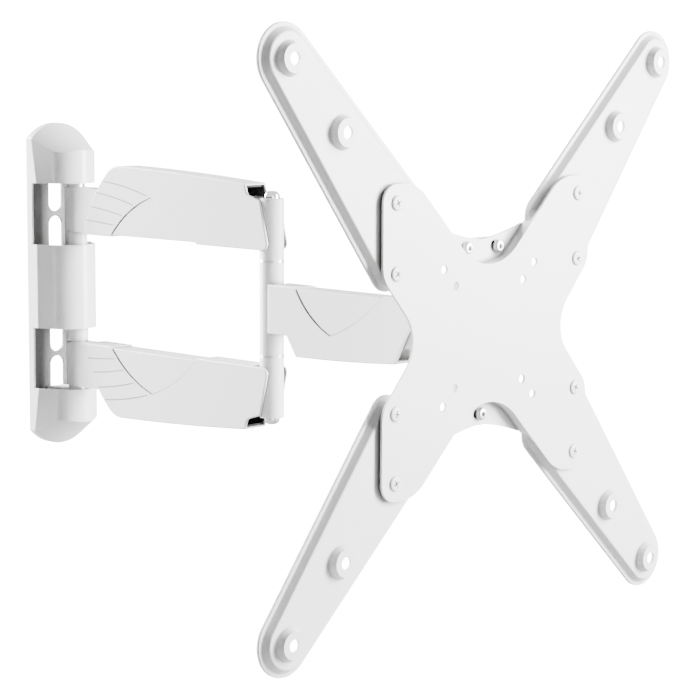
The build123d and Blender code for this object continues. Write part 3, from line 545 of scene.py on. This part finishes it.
def thread_tree() -> bpy.types.NodeTree:
    """Tree that winds one screw thread on every point, along +Y.

    Returns:
        The Geometry Nodes tree, made once and reused.
    """
    known = bpy.data.node_groups.get("thread_sites")
    if known:
        return known
    tree = geometry_tree("thread_sites", [
        ("Radius", "NodeSocketFloat", 0.0025), ("Length", "NodeSocketFloat", 0.004),
        ("Turns", "NodeSocketFloat", 5.0), ("Thread Radius", "NodeSocketFloat", 0.0003),
        ("Material", "NodeSocketMaterial", None)])
    nodes, links = tree.nodes, tree.links
    helix = nodes.new("GeometryNodeCurveSpiral")
    helix.inputs["Resolution"].default_value = THREAD_STEPS
    links.new(nodes["in"].outputs["Turns"], helix.inputs["Rotations"])
    links.new(nodes["in"].outputs["Radius"], helix.inputs["Start Radius"])
    links.new(nodes["in"].outputs["Radius"], helix.inputs["End Radius"])
    links.new(nodes["in"].outputs["Length"], helix.inputs["Height"])
    rim = nodes.new("GeometryNodeCurvePrimitiveCircle")
    rim.inputs["Resolution"].default_value = THREAD_SIDES
    links.new(nodes["in"].outputs["Thread Radius"], rim.inputs["Radius"])
    wound = nodes.new("GeometryNodeCurveToMesh")
    wound.inputs["Fill Caps"].default_value = True
    links.new(helix.outputs["Curve"], wound.inputs["Curve"])
    links.new(rim.outputs["Curve"], wound.inputs["Profile Curve"])
    put = nodes.new("GeometryNodeInstanceOnPoints")
    put.inputs["Rotation"].default_value = (-pi / 2, 0.0, 0.0)
    links.new(nodes["in"].outputs["Geometry"], put.inputs["Points"])
    links.new(wound.outputs["Mesh"], put.inputs["Instance"])
    end_tree(tree, put.outputs["Instances"])
    return tree


def sites(name: str, points: list[tuple[float, float, float]]) -> bpy.types.Object:
    """A mesh of loose points, in metres, for a tree to build on."""
    bm = bmesh.new()
    for point in points:
        bm.verts.new(point)
    return piece_from(name, bm)


# ---- fasteners -----------------------------------------------------------------------
DOME_STEPS = 7
THREAD_DEPTH = 0.25         # millimetres, as are the next five
THREAD_RADIUS = 0.26
THREAD_PITCH = 0.8
THREAD_RUNOUT = 0.4         # plain stretch at each end of a thread
TAIL_POINT = 0.5
RUN_IN = 0.3
SCREW_TURN = 1.4            # largest random turn of a screw and of a nut, in radians
NUT_TURN = 1.0
NUT_SOFT_ANGLE = 25.0


class Drive(Enum):
    """How a driver holds a screw."""

    CROSS = "cross"
    HEX = "hex"


@dataclass
class ScrewRow:
    """Identical screws that stand along Y in one body, with their threads.

    Attributes:
        name: The piece's name.
        body: The body that the screws ride on.
        replaces: The CAD node that they stand for.
        look: Finish of the screws, which also names the record's slot.
        points: (x, z) of each screw in millimetres.
        head_y: Front of the heads, in metres.
        head_radius: Radius of a head in millimetres.
        head_height: Height of a head in millimetres.
        shank_radius: Radius of the shank in millimetres.
        tail: Length of the whole screw in millimetres.
        thread: Length of thread that shows at the tail in millimetres.
        drive: Kind of recess.
    """

    name: str
    body: str
    replaces: str
    look: Look
    points: list[tuple[float, float]]
    head_y: float
    head_radius: float
    head_height: float
    shank_radius: float
    tail: float
    thread: float
    drive: Drive

    def head(self) -> bpy.types.Object:
        """Build one screw with its recess, its front on Y = 0."""
        r, h = self.head_radius, self.head_height
        flat, edge = 0.74 * r, 0.26 * r
        crown, rim = 0.07 * h, 0.7 * h
        turns = [pi / 2 * k / DOME_STEPS for k in range(DOME_STEPS + 1)]
        dome = [(flat + edge * sin(turn), crown + rim * (1 - cos(turn))) for turn in turns]
        root = self.shank_radius - THREAD_DEPTH
        shoulder = self.tail - self.thread
        profile = [(0, 0), *dome, (r, h), (self.shank_radius, h), (self.shank_radius, shoulder),
                   (root, shoulder + RUN_IN), (root, self.tail - TAIL_POINT),
                   (root - 0.8 * TAIL_POINT, self.tail), (0, self.tail)]
        screw = turned(self.name + "_form", profile)
        if self.drive is Drive.HEX:
            recess, depth = [polygon(0.44 * r, 6)], 0.62 * h
        else:
            recess, depth = cross(0.46 * r, 0.09 * r), 0.85 * h
        for outline in recess:
            carve(screw, prism("driver_key", outline, -1.0, depth), Cut.AWAY)
        return screw

    def build(self, paints: Paintbox) -> None:
        """Put the screws and their threads in place and ride them on their body."""
        form = self.head()
        smooth(form)
        row = sites(self.name, [(x * MM, self.head_y, z * MM) for x, z in self.points])
        set_inputs(row, fastener_tree(), {
            "Fastener": form, "Largest Turn": SCREW_TURN, "Seed": len(self.name),
            "Material": paints.material(self.look)})
        bake(row)
        bpy.data.objects.remove(form)
        start = self.head_y + (self.tail - self.thread + THREAD_RUNOUT) * MM
        wound = sites(self.name + "_threads", [(x * MM, start, z * MM) for x, z in self.points])
        run = self.thread - 2 * THREAD_RUNOUT
        set_inputs(wound, thread_tree(), {
            "Radius": (self.shank_radius - THREAD_DEPTH) * MM, "Length": run * MM,
            "Turns": run / THREAD_PITCH, "Thread Radius": THREAD_RADIUS * MM,
            "Material": paints.material(Look.ZINC)})
        bake(wound)
        for piece, look in ((row, self.look), (wound, Look.ZINC)):
            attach(piece, self.body)
        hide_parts(self.replaces)
        log.info("%s: %d screws", self.name, len(self.points))


@dataclass
class NutRow:
    """Identical hexagon nuts that lie in one plane across Y.

    Attributes:
        name: The piece's name.
        body: The body that the nuts ride on.
        replaces: The CAD node that they stand for.
        points: (x, z) of each nut in millimetres.
        near_y: Face of the nuts nearer the room, in metres.
        corner_radius: Radius over the corners in millimetres.
        height: Height in millimetres.
        bore: Radius of the hole in millimetres.
    """

    name: str
    body: str
    replaces: str
    points: list[tuple[float, float]]
    near_y: float
    corner_radius: float
    height: float
    bore: float

    def form(self) -> bpy.types.Object:
        """Build one nut with chamfered corners, its near face on Y = 0."""
        r, h = self.corner_radius, self.height
        face, bevel = 0.87 * r, 0.12 * h
        nut = prism(self.name + "_form", polygon(r, 6), 0.0, h)
        barrel = [(0, 0), (face, 0), (r, bevel), (r, h - bevel), (face, h), (0, h)]
        carve(nut, turned("chamfer", barrel), Cut.COMMON)
        bore = [(0, -1), (self.bore, -1), (self.bore, h + 1), (0, h + 1)]
        carve(nut, turned("bore", bore, segments=32), Cut.AWAY)
        return nut

    def build(self, paints: Paintbox) -> None:
        """Put the nuts in place and ride them on their body."""
        form = self.form()
        smooth(form, NUT_SOFT_ANGLE)
        row = sites(self.name, [(x * MM, self.near_y, z * MM) for x, z in self.points])
        set_inputs(row, fastener_tree(), {
            "Fastener": form, "Largest Turn": NUT_TURN, "Seed": len(self.name),
            "Material": paints.material(Look.ZINC)})
        bake(row)
        bpy.data.objects.remove(form)
        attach(row, self.body)
        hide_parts(self.replaces)
        log.info("%s: %d nuts", self.name, len(self.points))


# ---- sub-assemblies ------------------------------------------------------------------
@dataclass
class Dressed:
    """A sub-assembly whose shapes come from the frame and are dressed here.

    Attributes:
        body: The body that it is.
    """

    body: str

    def build(self, paints: Paintbox) -> None:
        """Give every node of the body the finish of its slot."""
        slots = {row["node"]: row["material_slot"] for row in frame["record"]["subparts"]}
        for name in frame["record"]["behaviour"]["bodies"][self.body]:
            paints.paint(frame["nodes"][name], Look(slots[name]))
        log.info("%s dressed", self.body)


@dataclass
class ScreenPlate(Dressed):
    """The plate that the screen bolts to, with its screws and nuts.

    Attributes:
        screw_x: Distance of the screws from the middle, in millimetres.
        screw_z: Their heights above and below the middle, in millimetres.
    """

    screw_x: float = 100.0
    screw_z: tuple[float, float] = (100.0, 50.0)

    def build(self, paints: Paintbox) -> None:
        """Dress the plate and add its fasteners."""
        super().build(paints)
        points = [(sx * self.screw_x, sz * z) for sx in (-1, 1) for sz in (-1, 1) for z in self.screw_z]
        ScrewRow("plate_screws", self.body, "extension_screws", Look.STEEL, points, head_y=FACE_Y,
                 head_radius=5.5, head_height=1.5, shank_radius=2.5, tail=12.5, thread=4.0,
                 drive=Drive.CROSS).build(paints)
        NutRow("plate_nuts", self.body, "extension_nuts", points, near_y=FACE_Y + 7.5 * MM,
               corner_radius=4.6, height=4.0, bore=2.45).build(paints)


@dataclass
class TiltHead(Dressed):
    """The plate behind the screen plate, with its level screws.

    Attributes:
        level_points: (x, z) of each level screw in millimetres.
    """

    level_points: tuple[tuple[float, float], ...] = ((-17.0, 63.5), (17.0, 63.5), (0.0, -61.0))

    def build(self, paints: Paintbox) -> None:
        """Dress the head and add its fasteners."""
        super().build(paints)
        points = list(self.level_points)
        ScrewRow("levelling_screws", self.body, "level_screws", Look.ZINC, points,
                 head_y=FACE_Y + 6.5 * MM, head_radius=4.8, head_height=3.9, shank_radius=3.0,
                 tail=15.7, thread=5.0, drive=Drive.HEX).build(paints)
        NutRow("levelling_nuts", self.body, "level_nuts", points, near_y=FACE_Y + 16.2 * MM,
               corner_radius=5.7, height=4.5, bore=2.95).build(paints)


# ---- stage ---------------------------------------------------------------------------
def put_in_scene(name: str, data: bpy.types.ID, place: Matrix) -> bpy.types.Object:
    """Link a light or a camera to the scene at its place.

    Args:
        name: The object's name.
        data: The light or the camera.
        place: Its place and its turn.

    Returns:
        The object.
    """
    thing = bpy.data.objects.new(name, data)
    bpy.context.scene.collection.objects.link(thing)
    thing.matrix_world = place
    return thing


@dataclass(frozen=True)
class Softbox:
    """A large soft light that faces the middle of the mount.

    Attributes:
        name: The light's name.
        place: Its middle, in metres.
        size: Its width and height, in metres.
        power: Its power in watts.
        aim: The point that it faces, in metres.
    """

    name: str
    place: tuple[float, float, float]
    size: tuple[float, float]
    power: float
    aim: tuple[float, float, float] = (0.0, -0.3, 0.0)

    def hang(self) -> None:
        """Put the light in the scene."""
        data = bpy.data.lights.new(self.name, "AREA")
        data.shape = "RECTANGLE"
        data.size, data.size_y = self.size
        data.energy = self.power
        way = Vector(self.aim) - Vector(self.place)
        turn = way.to_track_quat("-Z", "Y").to_matrix().to_4x4()
        put_in_scene(self.name, data, Matrix.Translation(self.place) @ turn)


@dataclass
class Studio:
    """Floor, lights and camera.

    Attributes:
        eye: Camera position in metres.
        yaw: Camera heading from +Y towards +X in degrees.
        pitch: Downward pitch in degrees.
        roll: Roll in degrees.
        lens: Focal length in millimetres on a 36 mm sensor.
        floor_z: Height of the floor.
        floor_half_width: Half the floor's width.
        floor_grey: Linear grey of the floor where it lights the mount.
        white: Strength of the white surroundings that the camera sees.
        gleam: Their strength in reflections.
        fill: Their strength where they light the mount.
        softboxes: The lights.
    """

    eye: tuple[float, float, float] = (-1.21722, -1.59282, 0.19079)
    yaw: float = 45.0606
    pitch: float = 7.1833
    roll: float = 0.26645
    lens: float = 113.26
    floor_z: float = -0.36
    floor_half_width: float = 14.0
    floor_grey: float = 0.25
    white: float = 20.0
    gleam: float = 1.6
    fill: float = 0.08
    softboxes: tuple[Softbox, ...] = (
        Softbox("left_softbox", (-0.85, 2.25, 0.75), (1.0, 2.6), 800.0),
        Softbox("right_softbox", (1.75, -2.25, 0.6), (0.9, 2.6), 550.0))

    def camera(self) -> None:
        """Place the camera."""
        data = bpy.data.cameras.new("camera")
        data.lens = self.lens
        data.sensor_width = 36.0
        data.clip_end = 50.0
        heading = Matrix.Rotation(radians(-self.yaw), 4, "Z")
        nod = Matrix.Rotation(radians(90 - self.pitch), 4, "X")
        lean = Matrix.Rotation(radians(self.roll), 4, "Z")
        place = Matrix.Translation(self.eye) @ (heading @ nod @ lean)
        bpy.context.scene.camera = put_in_scene("camera", data, place)

    def floor(self) -> None:
        """Lay a pale floor that shows as white as the rest of the surroundings."""
        bm = bmesh.new()
        bmesh.ops.create_grid(bm, x_segments=1, y_segments=1, size=self.floor_half_width)
        bmesh.ops.translate(bm, verts=bm.verts, vec=(0, 0, self.floor_z))
        plane = piece_from("floor", bm)
        material = bpy.data.materials.new("pale_floor")
        material.use_nodes = True
        nodes, links = material.node_tree.nodes, material.node_tree.links
        shader = nodes["Principled BSDF"]
        shader.inputs["Base Color"].default_value = (*[self.floor_grey] * 3, 1.0)
        shader.inputs["Roughness"].default_value = 0.9
        glow = nodes.new("ShaderNodeEmission")
        glow.inputs["Color"].default_value = (1.0, 1.0, 1.0, 1.0)
        glow.inputs["Strength"].default_value = self.white
        seen = nodes.new("ShaderNodeLightPath")
        mix = nodes.new("ShaderNodeMixShader")
        links.new(seen.outputs["Is Camera Ray"], mix.inputs["Fac"])
        links.new(shader.outputs[0], mix.inputs[1])
        links.new(glow.outputs[0], mix.inputs[2])
        links.new(mix.outputs[0], nodes["Material Output"].inputs["Surface"])
        plane.data.materials.append(material)

    def world(self) -> None:
        """Set white surroundings, with one strength for each kind of ray."""
        world = bpy.data.worlds.new("studio")
        world.use_nodes = True
        bpy.context.scene.world = world
        nodes, links = world.node_tree.nodes, world.node_tree.links
        back = nodes["Background"]
        back.inputs["Color"].default_value = (1.0, 1.0, 1.0, 1.0)
        path = nodes.new("ShaderNodeLightPath")
        before = None
        for ray, level in (("Is Glossy Ray", self.gleam), ("Is Camera Ray", self.white)):
            step = nodes.new("ShaderNodeMath")
            step.operation = "MULTIPLY_ADD"
            links.new(path.outputs[ray], step.inputs[0])
            step.inputs[1].default_value = level - self.fill
            if before:
                links.new(before.outputs[0], step.inputs[2])
            else:
                step.inputs[2].default_value = self.fill
            before = step
        links.new(before.outputs[0], back.inputs["Strength"])

    def build(self) -> None:
        """Set the whole stage."""
        self.floor()
        self.camera()
        for softbox in self.softboxes:
            softbox.hang()
        self.world()
        log.info("studio set")


def main() -> None:
    """Build the mount from the wall outwards, then the stage."""
    paints = Paintbox()
    for part in (Dressed("wall_part"), Dressed("arms"), Dressed("forearm"), Dressed("yoke"),
                 TiltHead("tilt_head"), ScreenPlate("screen_plate")):
        part.build(paints)
    Studio().build()


if __name__ == "__main__":
    logging.basicConfig(level=logging.INFO, format="%(message)s")
    main()
